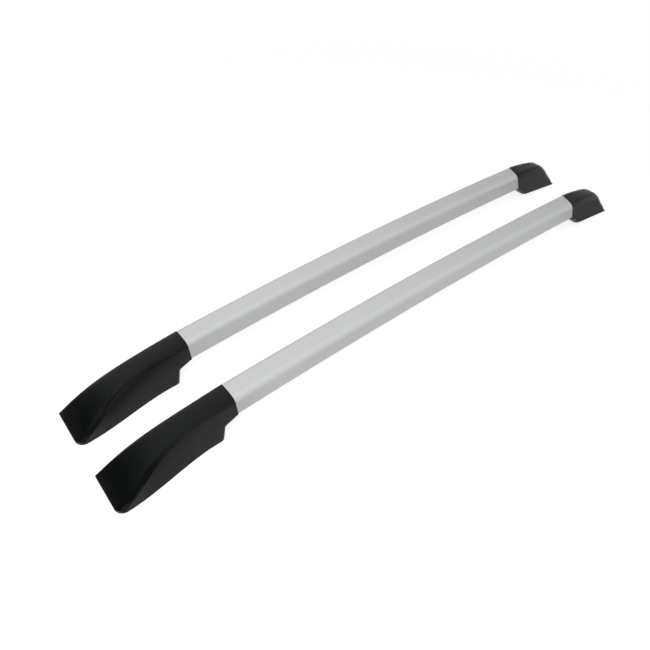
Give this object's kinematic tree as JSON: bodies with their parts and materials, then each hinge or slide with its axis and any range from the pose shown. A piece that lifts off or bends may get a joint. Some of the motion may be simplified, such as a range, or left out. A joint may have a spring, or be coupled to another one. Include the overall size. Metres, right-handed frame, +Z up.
{
  "type": "roof side rail pair",
  "caption": "Pair of raised car roof side rails: bowed hollow aluminium bars, each on a long flared nose foot and a short rounded tail foot moulded in black plastic.",
  "frame": {"origin": "middle of the pair on the floor it stands on", "axes": "+X from the noses to the tails, +Y across from the left rail to the right rail, +Z up"},
  "size_m": [1.1875, 0.2252, 0.0885],
  "materials": {
    "bar_silver": "satin anodised",
    "cover_black": "fine-grained moulded",
    "bracket_cast": "as cast",
    "gasket_rubber": "matt",
    "insert_steel": "zinc plated",
    "screw_steel": "zinc plated",
    "tapper_steel": "black plated"
  },
  "bodies": {
    "root": {"left_bar": "bar_silver", "left_front_cover": "cover_black", "left_rear_cover": "cover_black", "left_front_bracket": "bracket_cast", "left_rear_bracket": "bracket_cast", "left_front_gasket": "gasket_rubber", "left_rear_gasket": "gasket_rubber", "left_front_inserts": "insert_steel", "left_rear_insert": "insert_steel", "left_front_bar_screws": "screw_steel", "left_rear_bar_screws": "screw_steel", "left_front_cover_screws": "tapper_steel", "left_rear_cover_screws": "tapper_steel", "right_bar": "bar_silver", "right_front_cover": "cover_black", "right_rear_cover": "cover_black", "right_front_bracket": "bracket_cast", "right_rear_bracket": "bracket_cast", "right_front_gasket": "gasket_rubber", "right_rear_gasket": "gasket_rubber", "right_front_inserts": "insert_steel", "right_rear_insert": "insert_steel", "right_front_bar_screws": "screw_steel", "right_rear_bar_screws": "screw_steel", "right_front_cover_screws": "tapper_steel", "right_rear_cover_screws": "tapper_steel"}
  },
  "joints": []
}
